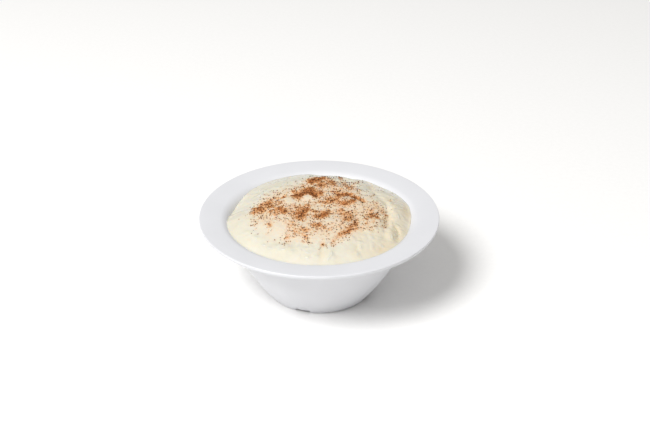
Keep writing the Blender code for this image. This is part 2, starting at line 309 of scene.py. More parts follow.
# Cinnamon: strokes, as half width, density, and the points that each runs through
DUST_STROKES = (
    (1.7, 1.1, ((-16.5, 17.0), (-13.5, 15.0), (-11.0, 19.0), (-8.0, 23.0), (-4.5, 21.5),
                (-2.6, 15.0))),
    (1.2, 1.2, ((14.4, 17.6), (19.6, 19.4), (22.5, 15.6), (25.0, 13.4), (28.2, 8.6))),
    (0.9, 0.3, ((24.5, 37.0), (26.4, 43.0))),
    (1.1, 0.22, ((40.5, 2.0), (41.0, -9.0), (39.5, -20.0))),
    (2.2, 0.12, ((-18.0, -22.0), (-6.0, -27.0), (8.0, -24.0))),
)

# Cinnamon: the dusted disc, the start and width of its edge in radii, how ragged that is, the
# size and seed of its rags, and the density inside
DUST_CENTRE = (-2.0, -3.5)
DUST_RADIUS = 41.5
DUST_EDGE = (0.80, 0.26)
DUST_RAGGED = 0.07
DUST_RAGS = (6.0, 21)
DUST_EVEN = 0.12

# Cinnamon: how steeply patches and strokes thin out, and clumps, as strength, size and seed
DUST_FALL = 0.9
DUST_CLUMPS = ((0.42, 3.4, 22), (0.35, 1.5, 23))
CLUMP_LIMITS = (0.1, 2.0)

# Cinnamon chips: tries, share that stays where it is thick, power of the thickness, sizes, tones;
# half side of the square that they fall on, and how far out to the wall they stay
SPECKS = (28000, 0.39, 0.50, (0.55, 1.10), (0.0, 0.34))
POWDER = (170000, 0.47, 1.30, (0.20, 0.46), (0.30, 1.0))
LAY_SEED = 31
CHIP_FIELD = 58.0
CHIP_WITHIN = 0.985
SIZE_SPREAD = (1.5, 2.2)

# Cinnamon chips: their rough shapes, and how high they lie and pile up
SHAPE_SEED = 32
CHIP_ROUGH = (0.62, 1.15)
CHIP_STRETCH = ((0.9, 1.25), (0.55, 0.95), (0.35, 0.7))
CHIP_LIFT = 0.10
PILE = 0.35
PILE_DENSEST = 1.2
NORMAL_STEP = 0.25

# Cinnamon soaked into the cream round the chips: a square field of cells, the share of its own
# square that a chip covers, and how the field spreads and stains
SOAK_REACH = 60.0
SOAK_CELL = 0.4
CHIP_FILL = 0.5
SOAK_SPREAD = 5
SOAK_STRENGTH = 2.5
SOAK_EVEN = 0.11
SOAK_FROM_SPECKS = 0.25

# Painted warm shade on the cream, for the shade on its right side and in its creases and hollows:
# a share on the right, less at the back, and spots, as centre x, y, half length, half width, turn
# in degrees, strength
SHADE_TINT_RIGHT = 0.5
SHADE_TINT_ZONE = (-34.0, 26.0)
SHADE_TINT_SPOTS = (
    (47.5, -22.0, 6.5, 2.8, 85.0, 1.3),
    (55.0, 4.0, 5.0, 3.0, 90.0, 0.7),
    (41.5, -12.0, 11.0, 2.6, 88.0, 0.7),
    (33.5, 38.0, 12.0, 2.4, 92.0, 0.9),
    (45.0, 14.5, 2.0, 2.0, 0.0, 0.6),
    (1.5, -50.0, 6.5, 2.2, 88.0, 0.6),
    (37.0, -42.5, 2.4, 1.6, 40.0, 0.6),
    (22.5, -43.5, 1.6, 2.0, 0.0, 0.4),
)

# View: what the camera looks at, from how far and how high
VIEW_TARGET = (3.6, 0.0, 50.8)
VIEW_DISTANCE = 700.0
VIEW_ELEVATION = math.radians(29.0)
VIEW_LENS = 61.8

# Light: a broad key from the front left, and a surround that brightens from level to overhead
KEY_FROM = math.radians(-41.0)
KEY_ELEVATION = math.radians(50.0)
KEY_DISTANCE = 2600.0
KEY_WIDTH = 1100.0
KEY_STRENGTH = 2.95
SURROUND_LEVEL = (0.27, 0.268, 0.264)
SURROUND_ABOVE = (0.60, 0.594, 0.585)

# Floor: a wide disc, a hair below the foot
FLOOR_RADIUS = 8000.0
FLOOR_DROP = 0.05
FLOOR_SIDES = 96


def grey(level):
    return level, level, level


# Colours, each as the stops of a ramp
WARE = ((0.35, (0.700, 0.705, 0.730)), (0.65, (0.720, 0.725, 0.750)))
WARE_ROUGHNESS = ((0.3, grey(0.40)), (0.7, grey(0.48)))
CREAM = ((0.35, (0.70, 0.66, 0.535)), (0.65, (0.73, 0.695, 0.585)))
# cream darkened and warmed where painted shade lies on it
CREAM_SHADE_TINTED = ((0.35, (0.74, 0.63, 0.44)), (0.65, (0.755, 0.665, 0.50)))
CREAM_ROUGHNESS = ((0.1, grey(0.25)), (0.5, grey(0.8)))
RICE = ((0.35, (0.705, 0.667, 0.545)), (0.65, (0.74, 0.705, 0.60)))
# rice darkened and warmed where painted shade lies on it
RICE_SHADE_TINTED = ((0.35, (0.74, 0.64, 0.46)), (0.65, (0.76, 0.68, 0.525)))
CINNAMON = (
    (0.0, (0.055, 0.022, 0.010)), (0.35, (0.17, 0.058, 0.016)),
    (0.65, (0.44, 0.15, 0.032)), (1.0, (0.68, 0.28, 0.07)),
)
STAIN = ((0.0, (0.82, 0.60, 0.38)), (0.35, (0.73, 0.34, 0.105)), (0.9, (0.48, 0.16, 0.028)))
STAIN_SHARE = ((0.0, grey(0.0)), (0.12, grey(0.45)), (0.45, grey(0.88)), (0.9, grey(0.96)))
STAIN_POWDER = ((0.34, grey(0.35)), (0.66, grey(1.0)))
FLOOR = ((0.3, (0.94, 0.935, 0.925)), (0.7, (0.96, 0.955, 0.945)))


# ---------------------------------------------------------------- shape helpers

def mesh_object(name, points, faces, smooth=True):
    """An object from points in millimetres and faces as index tuples."""
    data = bpy.data.meshes.new(name)
    data.from_pydata((np.asarray(points) * MM).tolist(), [], faces)
    data.validate()
    if smooth:
        data.shade_smooth()
    item = bpy.data.objects.new(name, data)
    bpy.context.scene.collection.objects.link(item)
    return item


def point_attribute(item, name, values):
    attribute = item.data.attributes.new(name, "FLOAT", "POINT")
    attribute.data.foreach_set("value", np.asarray(values, dtype=np.float32))


def ease(part):
    return part * part * (3.0 - 2.0 * part)


def unit(a, b):
    length = math.hypot(a, b)
    return a / length, b / length


def come_in(value, start, width):
    """0 up to start, easing to 1 over width."""
    return ease(np.clip((value - start) / width, 0.0, 1.0))


def apart(a, b):
    """Degrees between two directions."""
    return abs((a - b + 180.0) % 360.0 - 180.0)


def between_cells(field, rows, columns, fx, fy):
    """Values of a field, blended between its first and next rows and columns."""
    near = field[rows[0], columns[0]] * (1 - fx) + field[rows[0], columns[1]] * fx
    far = field[rows[1], columns[0]] * (1 - fx) + field[rows[1], columns[1]] * fx
    return near * (1 - fy) + far * fy


def value_noise(x, y, cell, seed):
    """Smooth random field from about -1 to 1 over x, y, with lumps a cell across."""
    period = 64
    lattice = np.random.default_rng(seed).uniform(-1.0, 1.0, (period, period))
    u, v = x / cell + period / 2.0, y / cell + period / 2.0
    column, row = np.floor(u).astype(int), np.floor(v).astype(int)
    rows, columns = (row % period, (row + 1) % period), (column % period, (column + 1) % period)
    return between_cells(lattice, rows, columns, ease(u - column), ease(v - row))


def ring_faces(upper, lower):
    """Faces of the band between two closed rows of point indices."""
    faces = []
    for step in range(len(upper)):
        after = (step + 1) % len(upper)
        faces.append((upper[step], lower[step], lower[after], upper[after]))
    return faces


# ---------------------------------------------------------------- bowl

def body_arc():
    """Centre (radius, height) and radius of the arc that the outer wall follows."""
    chord_r = BODY_TOP_RADIUS - FOOT_RADIUS
    chord = math.hypot(chord_r, BODY_TOP_HEIGHT)
    arc_radius = chord * chord / (8.0 * BODY_BULGE) + BODY_BULGE / 2.0
    reach = arc_radius - BODY_BULGE
    centre_r = FOOT_RADIUS + chord_r / 2.0 - reach * BODY_TOP_HEIGHT / chord
    centre_z = BODY_TOP_HEIGHT / 2.0 + reach * chord_r / chord
    return centre_r, centre_z, arc_radius


def wall_radius(height, inset=0.0):
    """Radius of the body's arc at a height, moved inwards by inset."""
    centre_r, centre_z, arc_radius = body_arc()
    return centre_r + math.sqrt((arc_radius - inset) ** 2 - (height - centre_z) ** 2)


def rounded(corners):
    """Outline points (radius, height) of a path whose corners (r, z, rounding) are filleted."""
    points = []
    for index, (r, z, rounding) in enumerate(corners):
        if rounding == 0.0:
            points.append((r, z))
            continue
        in_r, in_z = unit(corners[index - 1][0] - r, corners[index - 1][1] - z)
        out_r, out_z = unit(corners[index + 1][0] - r, corners[index + 1][1] - z)
        half = math.acos(in_r * out_r + in_z * out_z) / 2.0
        setback = rounding / math.tan(half)
        middle_r, middle_z = unit(in_r + out_r, in_z + out_z)
        centre_r = r + middle_r * rounding / math.sin(half)
        centre_z = z + middle_z * rounding / math.sin(half)
        start = math.atan2(z + in_z * setback - centre_z, r + in_r * setback - centre_r)
        end = math.atan2(z + out_z * setback - centre_z, r + out_r * setback - centre_r)
        sweep = (end - start + math.pi) % (2.0 * math.pi) - math.pi
        for step in range(ROUND_STEPS + 1):
            angle = start + sweep * step / ROUND_STEPS
            points.append((centre_r + rounding * math.cos(angle),
                           centre_z + rounding * math.sin(angle)))
    return points


def steps_between(low, high, count):
    """count heights evenly spread strictly between low and high."""
    return [low + (high - low) * (step + 1) / (count + 1) for step in range(count)]


def well_corners():
    """Corners of the well's section, from the middle of its floor out to its rounded edge."""
    edge_height = RIM_HEIGHT - (RIM_RADIUS - BODY_TOP_RADIUS) * math.tan(RIM_SLOPE)
    corners = [
        (0.0, FLOOR_HEIGHT, 0.0),
        (wall_radius(FLOOR_HEIGHT, WALL), FLOOR_HEIGHT, FLOOR_ROUND),
    ]
    lowest = FLOOR_HEIGHT + FLOOR_ROUND * WELL_STEPS_FROM
    for height in steps_between(lowest, edge_height - WELL_EDGE_ROUND, ARC_STEPS):
        corners.append((wall_radius(height, WALL), height, 0.0))
    corners.append((wall_radius(edge_height, WALL), edge_height, WELL_EDGE_ROUND))
    return corners


def bowl_outline():
    """The bowl's section, from the axis under the base, out and up, and back to the axis."""
    ring_inner = FOOT_RADIUS - FOOT_RING_WIDTH
    corners = [
        (0.0, FOOT_RECESS, 0.0),
        (ring_inner, FOOT_RECESS, FOOT_INNER_ROUND),
        (ring_inner, 0.0, FOOT_INNER_ROUND),
        (FOOT_RADIUS, 0.0, FOOT_ROUND),
    ]
    corners += [(wall_radius(z), z, 0.0) for z in steps_between(0.0, BODY_TOP_HEIGHT, ARC_STEPS)]
    corners += [
        (BODY_TOP_RADIUS, BODY_TOP_HEIGHT, UNDER_RIM_ROUND),
        (RIM_RADIUS, RIM_HEIGHT - RIM_THICKNESS, LIP_UNDER_ROUND),
        (RIM_RADIUS, RIM_HEIGHT, LIP_TOP_ROUND),
    ]
    corners += reversed(well_corners())
    return rounded(corners)


def notch_edges():
    """Directions in degrees of each notch's two sides."""
    half = math.degrees(NOTCH_WIDTH / 2.0 / FOOT_RADIUS)
    middles = [pair + side * NOTCH_SPREAD for pair in NOTCH_PAIRS for side in (-1, 1)]
    return [(middle - half, middle + half) for middle in middles]


def notch_lift(degrees):
    """How far the foot ring is cut up in a direction: NOTCH_HEIGHT inside a notch, else 0."""
    soft = math.degrees(NOTCH_SIDE / FOOT_RADIUS)
    lift = 0.0
    for start, end in notch_edges():
        middle, half = (start + end) / 2.0, (end - start) / 2.0
        away = apart(degrees, middle) - half
        lift = max(lift, ease(min(1.0, max(0.0, 0.5 - away / (2.0 * soft)))))
    return lift * NOTCH_HEIGHT


def bowl_directions():
    """Even directions round the bowl, with extra ones at the notches' sides."""
    even = [360.0 * step / BOWL_SEGMENTS for step in range(BOWL_SEGMENTS)]
    soft = math.degrees(NOTCH_SIDE / FOOT_RADIUS)
    edges = [edge for pair in notch_edges() for edge in pair]
    sides = [(edge + shift * soft) % 360.0 for edge in edges for shift in SIDE_STEPS]
    room = 360.0 / BOWL_SEGMENTS * SIDE_ROOM
    kept = [angle for angle in even if all(apart(angle, side) > room for side in sides)]
    return sorted(kept + sides)


def make_bowl():
    outline = bowl_outline()
    directions = bowl_directions()
    count = len(directions)
    cut_from = FOOT_RADIUS - FOOT_RING_WIDTH - NOTCH_OVERRUN
    points = []
    for r, z in outline[1:-1]:
        for degrees in directions:
            angle = math.radians(degrees)
            cut = notch_lift(degrees) if z < NOTCH_HEIGHT and r > cut_from else 0.0
            points.append((r * math.sin(angle), -r * math.cos(angle), max(z, cut)))
    faces = []
    for ring in range(len(outline) - 3):
        for step in range(count):
            after = (step + 1) % count
            low, high = ring * count, (ring + 1) * count
            faces.append((low + step, low + after, high + after, high + step))
    under, floor = len(points), len(points) + 1
    points += [(0.0, 0.0, outline[0][1]), (0.0, 0.0, outline[-1][1])]
    last = (len(outline) - 3) * count
    for step in range(count):
        after = (step + 1) % count
        faces.append((under, after, step))
        faces.append((floor, last + step, last + after))
    return mesh_object("bowl_shell", points, faces)


# ---------------------------------------------------------------- pudding surface

def shore_height(degrees):
    """Height of the pudding at the wall in each direction, eased between the SHORE entries."""
    starts = np.array([entry[0] for entry in SHORE] + [360.0])
    heights = np.array([entry[1] for entry in SHORE] + [SHORE[0][1]])
    degrees = np.mod(degrees, 360.0)
    index = np.clip(np.searchsorted(starts, degrees, side="right") - 1, 0, len(SHORE) - 1)
    part = (degrees - starts[index]) / (starts[index + 1] - starts[index])
    return heights[index] + (heights[index + 1] - heights[index]) * ease(part)


WELL = np.array(rounded(well_corners() + [(RIM_RADIUS, RIM_HEIGHT, 0.0)]))


def well_radius(height):
    """Radius of the well's wall at a height, its rounded edge included."""
    rising = WELL[np.argsort(WELL[:, 1])]
    return np.interp(height, rising[:, 1], rising[:, 0])


def place(points_x, points_y):
    """Direction in degrees and share of the way out to the wall of each point."""
    degrees = np.degrees(np.arctan2(points_x, -points_y))
    return degrees, np.hypot(points_x, points_y) / well_radius(shore_height(degrees))


def lobe_rise(x, y):
    rise = np.zeros_like(x)
    for *lobe, height in LOBES:
        rise += height * np.exp(-in_patch(x, y, lobe) ** LOBE_FALL)
    return rise


def distance_to_run(x, y, points):
    """Distance of each x, y to the nearest of the straight runs between points."""
    nearest = np.full_like(x, np.inf)
    for (start_x, start_y), (end_x, end_y) in zip(points, points[1:]):
        run_x, run_y = end_x - start_x, end_y - start_y
        part = ((x - start_x) * run_x + (y - start_y) * run_y) / (run_x * run_x + run_y * run_y)
        part = np.clip(part, 0.0, 1.0)
        away = np.hypot(x - start_x - part * run_x, y - start_y - part * run_y)
        nearest = np.minimum(nearest, away)
    return nearest


def furrow_depth(x, y):
    depth = np.zeros_like(x)
    for half_width, deep, points in FURROWS:
        distance = distance_to_run(x, y, points) / half_width
        depth = np.maximum(depth, deep * np.exp(-distance * distance))
    return depth


def scatter(rng, count, radius, spacing):
    """Up to count random points on a disc, no two nearer than spacing."""
    kept = []
    for _ in range(count * TRIES_PER_SPOT):
        if len(kept) == count:
            break
        point = rng.uniform(-radius, radius, 2)
        if np.hypot(*point) > radius:
            continue
        if kept and np.min(np.hypot(*(np.array(kept) - point).T)) < spacing:
            continue
        kept.append(point)
    return np.array(kept)


def on_the_right(x):
    """0 on the left and in the middle, easing to 1 on the right, where the helping is lumpiest."""
    return come_in(x, *RIGHT_ZONE)


def in_front(y):
    """0 in the middle and behind it, easing to 1 near the front wall."""
    return come_in(-y, *FRONT_ZONE)


def graininess(x, y):
    """How strongly the grains swell the cream: least on the left, most on the right."""
    right, back = GRAINS_RIGHT * on_the_right(x), come_in(y, *BACK_ZONE)
    lumpy = np.maximum(np.maximum(right, back), GRAINS_FRONT * in_front(y))
    return SMOOTH_SHARE + (1.0 - SMOOTH_SHARE) * lumpy


def make_grains():
    """Grains in the surface: x, y, turn, length, rise."""
    rng = np.random.default_rng(GRAIN_SEED)
    spots = scatter(rng, GRAIN_COUNT, GRAIN_FIELD, GRAIN_SPACING)
    turns = rng.uniform(0.0, math.pi, len(spots))
    lengths = rng.uniform(*GRAIN_LENGTH, len(spots))
    rises = rng.uniform(*GRAIN_RISE, len(spots)) * graininess(*spots.T)
    return np.column_stack([spots, turns, lengths, rises])


GRAINS = make_grains()


def grain_relief(x, y):
    """Soft swellings over the grains that lie under the cream, blended where they meet."""
    total = np.zeros_like(x)
    reach = GRAIN_WIDTH / 2.0 + GRAIN_COAT
    for grain_x, grain_y, turn, length, rise in GRAINS:
        far = length / 2.0 + reach
        near = (np.abs(x - grain_x) < far) & (np.abs(y - grain_y) < far)
        half = (length - GRAIN_WIDTH) / 2.0
        dx, dy = half * math.cos(turn), half * math.sin(turn)
        ends = ((grain_x - dx, grain_y - dy), (grain_x + dx, grain_y + dy))
        distance = distance_to_run(x[near], y[near], ends)
        swell = rise * (1.0 - np.clip(distance / reach, 0.0, 1.0) ** 2) ** 2
        total[near] += swell ** BLEND_POWER
    return total ** (1.0 / BLEND_POWER)


def rice_faces(first):
    """Faces of a grain: its rings of points start at index first, then come its two ends."""
    rows = [list(range(first + ring * RICE_SIDES, first + (ring + 1) * RICE_SIDES))
            for ring in range(RICE_RINGS - 1)]
    faces = []
    for upper, lower in zip(rows, rows[1:]):
        faces += ring_faces(upper, lower)
    head = rows[-1][-1] + 1
    for step in range(RICE_SIDES):
        after = (step + 1) % RICE_SIDES
        faces.append((head, rows[0][step], rows[0][after]))
        faces.append((head + 1, rows[-1][after], rows[-1][step]))
    return faces


def rice_grain(rng, grain_x, grain_y, turn, length):
    """Points of a bent, slightly tapered grain whose back is just clear of the cream."""
    half = length / 2.0
    width = GRAIN_WIDTH / 2.0 * rng.uniform(*RICE_WIDTH)
    bend = rng.uniform(-RICE_BEND, RICE_BEND)
    t = np.cos(np.pi * np.arange(1, RICE_RINGS) / RICE_RINGS)
    radius = width * np.sqrt(1.0 - np.abs(t) ** RICE_BLUNTNESS) * (1.0 - RICE_TAPER * t)
    around = 2.0 * np.pi * np.arange(RICE_SIDES) / RICE_SIDES
    curve = np.repeat(bend * (1.0 - t * t), RICE_SIDES)
    along = np.concatenate([np.repeat(t * half, RICE_SIDES), [half, -half]])
    across = np.concatenate([np.outer(radius, np.cos(around)).ravel() + curve, [0.0, 0.0]])
    up = np.concatenate([np.outer(radius * RICE_FLATNESS, np.sin(around)).ravel(), [0.0, 0.0]])
    spine_x = grain_x + along * math.cos(turn)
    spine_y = grain_y + along * math.sin(turn)
    x = spine_x - across * math.sin(turn)
    y = spine_y + across * math.cos(turn)
    sink = width * RICE_FLATNESS - rng.uniform(*SHOWN_ABOVE)
    tilt = rng.uniform(-RICE_TILT, RICE_TILT)
    return np.column_stack([x, y, pudding_height(spine_x, spine_y) - sink + up + tilt * along])


def make_rice():
    """The grains that rise most, whole and in one mesh."""
    rng = np.random.default_rng(RICE_SEED)
    grains, faces, first = [], [], 0
    for grain_x, grain_y, turn, length, _ in GRAINS[np.argsort(-GRAINS[:, 4])]:
        _, part = place(grain_x, grain_y)
        if part > SHOWN_WITHIN or len(grains) == SHOWN_GRAINS:
            continue
        grains.append(rice_grain(rng, grain_x, grain_y, turn, length))
        faces += rice_faces(first)
        first += len(grains[-1])
    points = np.vstack(grains)
    rice = mesh_object("rice_grains", points, faces)
    point_attribute(rice, "stain", soaked(points[:, 0], points[:, 1]))
    # painted warm shade, kept in the "tan" attribute
    point_attribute(rice, "tan", tan(points[:, 0], points[:, 1]))
    return rice


def broad_height(x, y):
    """Height of the mound with its lobes and furrows."""
    degrees, part = place(x, y)
    part = np.clip(part, 0.0, 1.0)
    shore = shore_height(degrees)
    mound = shore + (CROWN - shore) * (1.0 - part ** SHOULDER)
    fade = 1.0 - part ** BROAD_FADE
    from_wall = (1.0 - part) * well_radius(shore) / MENISCUS_REACH
    meniscus = MENISCUS_DEPTH * from_wall * np.exp(1.0 - from_wall)
    return mound + (lobe_rise(x, y) - furrow_depth(x, y)) * fade - meniscus


def pudding_height(x, y):
    """Height of the finished surface: mound, lobes, furrows, grains and fine unevenness."""
    _, part = place(x, y)
    fade = 1.0 - np.clip(part, 0.0, 1.0) ** FINE_FADE
    waves = WAVE_HEIGHT + np.maximum(WAVES_RIGHT * on_the_right(x), WAVES_FRONT * in_front(y))
    fine = waves * value_noise(x, y, *WAVES) + RIPPLE_HEIGHT * value_noise(x, y, *RIPPLES)
    return broad_height(x, y) + (grain_relief(x, y) + fine) * fade


def in_dusted_disc(x, y):
    """1 over the dusted disc, easing to 0 over its ragged edge."""
    out = np.hypot(x - DUST_CENTRE[0], y - DUST_CENTRE[1]) / DUST_RADIUS
    out = out + DUST_RAGGED * value_noise(x, y, *DUST_RAGS)
    return 1.0 - come_in(out, *DUST_EDGE)


def tan(x, y):
    """How much painted warm shade the cream gets: least on the left, more on the right and in
    spots at its creases and hollows.
    """
    amount = SHADE_TINT_RIGHT * on_the_right(x) * come_in(-y, *SHADE_TINT_ZONE)
    for *spot, strength in SHADE_TINT_SPOTS:
        amount += strength * np.exp(-in_patch(x, y, spot))
    return amount


def in_patch(x, y, patch):
    """Squared distance of x, y from a patch's centre, in its half length and half width."""
    centre_x, centre_y, half_length, half_width, turn = patch
    cos_turn, sin_turn = math.cos(math.radians(turn)), math.sin(math.radians(turn))
    along = ((x - centre_x) * cos_turn + (y - centre_y) * sin_turn) / half_length
    across = ((y - centre_y) * cos_turn - (x - centre_x) * sin_turn) / half_width
    return along * along + across * across


def dust_density(x, y):
    """How thickly the cinnamon lies: 0 for none, 1 and above where it hides the cream."""
    thick = np.zeros_like(x)
    for *patch, density in DUST_PATCHES:
        thick += density * np.exp(-DUST_FALL * in_patch(x, y, patch))
    for half_width, density, points in DUST_STROKES:
        distance = distance_to_run(x, y, points) / half_width
        thick += density * np.exp(-DUST_FALL * distance * distance)
    even = DUST_EVEN * in_dusted_disc(x, y)
    clumps = 1.0
    for strength, cell, seed in DUST_CLUMPS:
        clumps = clumps + strength * value_noise(x, y, cell, seed)
    return np.maximum(thick + even, 0.0) * np.clip(clumps, *CLUMP_LIMITS)


def surface_normal(x, y):
    step = NORMAL_STEP
    slope_x = (pudding_height(x + step, y) - pudding_height(x - step, y)) / (2.0 * step)
    slope_y = (pudding_height(x, y + step) - pudding_height(x, y - step)) / (2.0 * step)
    normal = np.column_stack([-slope_x, -slope_y, np.ones_like(x)])
    return normal / np.linalg.norm(normal, axis=1, keepdims=True)


OCTA_POINTS = np.array(
    [(1, 0, 0), (-1, 0, 0), (0, 1, 0), (0, -1, 0), (0, 0, 1), (0, 0, -1)], dtype=float)
OCTA_FACES = np.array(
    [(0, 2, 4), (2, 1, 4), (1, 3, 4), (3, 0, 4), (2, 0, 5), (1, 2, 5), (3, 1, 5), (0, 3, 5)])


def icosahedron():
    """Points and faces of a unit icosahedron."""
    shape = bmesh.new()
    bmesh.ops.create_icosphere(shape, subdivisions=1, radius=1.0)
    points = np.array([vertex.co[:] for vertex in shape.verts])
    faces = np.array([[vertex.index for vertex in face.verts] for face in shape.faces])
    shape.free()
    return points, faces


def random_turns(rng, count):
    """Random rotation matrices."""
    q = rng.normal(size=(count, 4))
    w, x, y, z = (q / np.linalg.norm(q, axis=1, keepdims=True)).T
    return np.stack([
        1 - 2 * (y * y + z * z), 2 * (x * y - z * w), 2 * (x * z + y * w),
        2 * (x * y + z * w), 1 - 2 * (x * x + z * z), 2 * (y * z - x * w),
        2 * (x * z - y * w), 2 * (y * z + x * w), 1 - 2 * (x * x + y * y),
    ], axis=1).reshape(count, 3, 3)


def lay_chips(rng, kind):
    """Chips of one kind on the cream: x, y, size, tone."""
    tries, share, power, sizes, tones = kind
    x, y = rng.uniform(-CHIP_FIELD, CHIP_FIELD, (2, tries))
    density = dust_density(x, y)
    _, part = place(x, y)
    kept = (rng.uniform(0.0, 1.0, tries) < share * density ** power) & (part < CHIP_WITHIN)
    x, y = x[kept], y[kept]
    size = sizes[0] + (sizes[1] - sizes[0]) * rng.beta(*SIZE_SPREAD, len(x))
    tone = rng.uniform(*tones, len(x))
    return np.column_stack([x, y, size, tone])


LAY_RNG = np.random.default_rng(LAY_SEED)
CHIPS = [lay_chips(LAY_RNG, kind) for kind in (SPECKS, POWDER)]


def soak_field():
    """Share of each cell of a square field that chips cover, spread softly."""
    cells = int(2.0 * SOAK_REACH / SOAK_CELL)
    field = np.zeros((cells, cells))
    for chips, weight in zip(CHIPS, (SOAK_FROM_SPECKS, 1.0)):
        for x, y, size, _ in chips:
            row, column = int((y + SOAK_REACH) / SOAK_CELL), int((x + SOAK_REACH) / SOAK_CELL)
            field[row, column] += weight * (size / SOAK_CELL) ** 2 * CHIP_FILL
    for _ in range(SOAK_SPREAD):
        field = (np.roll(field, 1, 0) + 2.0 * field + np.roll(field, -1, 0)) / 4.0
        field = (np.roll(field, 1, 1) + 2.0 * field + np.roll(field, -1, 1)) / 4.0
    return field


SOAK = soak_field()


def soaked(x, y):
    """How much cinnamon has soaked into the cream at each point."""
    last = len(SOAK) - 1.001  # keeps the next row and column inside the field
    u = np.clip((x + SOAK_REACH) / SOAK_CELL - 0.5, 0.0, last)
    v = np.clip((y + SOAK_REACH) / SOAK_CELL - 0.5, 0.0, last)
    column, row = u.astype(int), v.astype(int)
    soak = between_cells(SOAK, (row, row + 1), (column, column + 1), u - column, v - row)
    return SOAK_STRENGTH * soak + SOAK_EVEN * in_dusted_disc(x, y)


def make_cinnamon():
    """Ground cinnamon as loose chips that lie on the cream, in one mesh."""
    rng = np.random.default_rng(SHAPE_SEED)
    all_points, all_faces, all_tones, base = [], [], [], 0
    for chips, (points, faces) in zip(CHIPS, (icosahedron(), (OCTA_POINTS, OCTA_FACES))):
        x, y, size, tone = chips.T
        count = len(x)
        dense = np.clip(dust_density(x, y), 0.0, PILE_DENSEST)
        pile = PILE * rng.uniform(0.0, 1.0, count) ** 2 * dense
        centre = np.column_stack([x, y, pudding_height(x, y)])
        centre = centre + surface_normal(x, y) * (size * CHIP_LIFT + pile)[:, None]
        rough = points[None, :, :] * rng.uniform(*CHIP_ROUGH, (count, len(points), 1))
        stretch = np.column_stack([rng.uniform(*limits, count) for limits in CHIP_STRETCH])
        rough = rough * (stretch * size[:, None] / 2.0)[:, None, :]
        rough = np.einsum("nij,nkj->nki", random_turns(rng, count), rough)
        rough = rough + centre[:, None, :]
        all_points.append(rough.reshape(-1, 3))
        offsets = base + np.arange(count) * len(points)
        all_faces.append((faces[None, :, :] + offsets[:, None, None]).reshape(-1, 3))
        all_tones.append(np.repeat(tone, len(points)))
        base += count * len(points)
    points, faces = np.vstack(all_points), np.vstack(all_faces).tolist()
    cinnamon = mesh_object("cinnamon", points, faces, smooth=False)
    point_attribute(cinnamon, "tone", np.concatenate(all_tones))
    return cinnamon


def disc_grid(cells):
    """A square grid wrapped onto the unit disc."""
    line = np.linspace(-1.0, 1.0, cells + 1)
    u, v = np.meshgrid(line, line)
    wide = np.abs(u) >= np.abs(v)
    radius = np.where(wide, u, v)
    safe = np.where(radius == 0.0, 1.0, radius)
    angle = np.where(wide, math.pi / 4.0 * v / safe, math.pi / 2.0 - math.pi / 4.0 * u / safe)
    return (radius * np.cos(angle)).ravel(), (radius * np.sin(angle)).ravel()


def make_pudding():
    """The pudding as one closed solid: the fine top, and a plain skirt and base in the well."""
    cells = GRID_CELLS
    row = cells + 1
    unit_x, unit_y = disc_grid(cells)
    degrees = np.degrees(np.arctan2(unit_x, -unit_y))
    radius = well_radius(shore_height(degrees)) + TOP_OVERLAP
    x, y = unit_x * radius, unit_y * radius
    points = np.column_stack([x, y, pudding_height(x, y)])
    corner = (np.arange(cells)[:, None] * row + np.arange(cells)[None, :]).ravel()
    faces = np.column_stack([corner, corner + 1, corner + row + 1, corner + row]).tolist()
    border = list(range(cells))
    border += [row * step + cells for step in range(cells)]
    border += [row * cells + cells - step for step in range(cells)]
    border += [row * (cells - step) for step in range(cells)]
    rim = points[border]
    aim = np.degrees(np.arctan2(rim[:, 0], -rim[:, 1]))
    skirt_top = shore_height(aim) - SKIRT_DROP
    base = FLOOR_HEIGHT + SKIRT_GAP
    rings = [border]
    for level in range(1, SKIRT_RINGS + 1):
        part = level / SKIRT_RINGS
        height = skirt_top - (skirt_top - base) * part ** SKIRT_FALL
        r = well_radius(height) - SKIRT_GAP
        angle = np.radians(aim)
        ring = np.column_stack([r * np.sin(angle), -r * np.cos(angle), height])
        first = len(points)
        points = np.vstack([points, ring])
        rings.append(list(range(first, first + len(border))))
    for upper, lower in zip(rings, rings[1:]):
        faces += ring_faces(upper, lower)
    points = np.vstack([points, [[0.0, 0.0, base]]])
    middle = len(points) - 1
    for step in range(len(border)):
        faces.append((rings[-1][step], middle, rings[-1][(step + 1) % len(border)]))
    heap = mesh_object("pudding_heap", points, faces)
    point_attribute(heap, "stain", soaked(points[:, 0], points[:, 1]))
    # painted warm shade, kept in the "tan" attribute
    point_attribute(heap, "tan", tan(points[:, 0], points[:, 1]))
    return heap


# ---------------------------------------------------------------- materials

def new_material(name):
    """A material, its nodes, links and shader."""
    material = bpy.data.materials.new(name)
    material.use_nodes = True
    nodes = material.node_tree.nodes
    return material, nodes, material.node_tree.links, nodes["Principled BSDF"]


def where_node(nodes):
    """Socket of places on the object."""
    return nodes.new("ShaderNodeTexCoord").outputs["Object"]


def noise_node(nodes, links, vector, scale, detail):
    noise = nodes.new("ShaderNodeTexNoise")
    noise.inputs["Scale"].default_value = scale
    noise.inputs["Detail"].default_value = detail
    links.new(vector, noise.inputs["Vector"])
    return noise.outputs["Fac"]


def ramp_node(nodes, links, factor, stops):
    """A colour ramp: stops are (position, (r, g, b))."""
    ramp = nodes.new("ShaderNodeValToRGB")
    elements = ramp.color_ramp.elements
    while len(elements) < len(stops):
        elements.new(0.5)
    for element, (position, colour) in zip(elements, stops):
        element.position = position
        element.color = (*colour, 1.0)
    links.new(factor, ramp.inputs["Fac"])
    return ramp.outputs["Color"]


def bump_node(nodes, links, height, strength, distance):
    bump = nodes.new("ShaderNodeBump")
    bump.inputs["Strength"].default_value = strength
    bump.inputs["Distance"].default_value = distance
    links.new(height, bump.inputs["Height"])
    return bump.outputs["Normal"]


def attribute_node(nodes, name):
    attribute = nodes.new("ShaderNodeAttribute")
    attribute.attribute_name = name
    return attribute.outputs["Fac"]


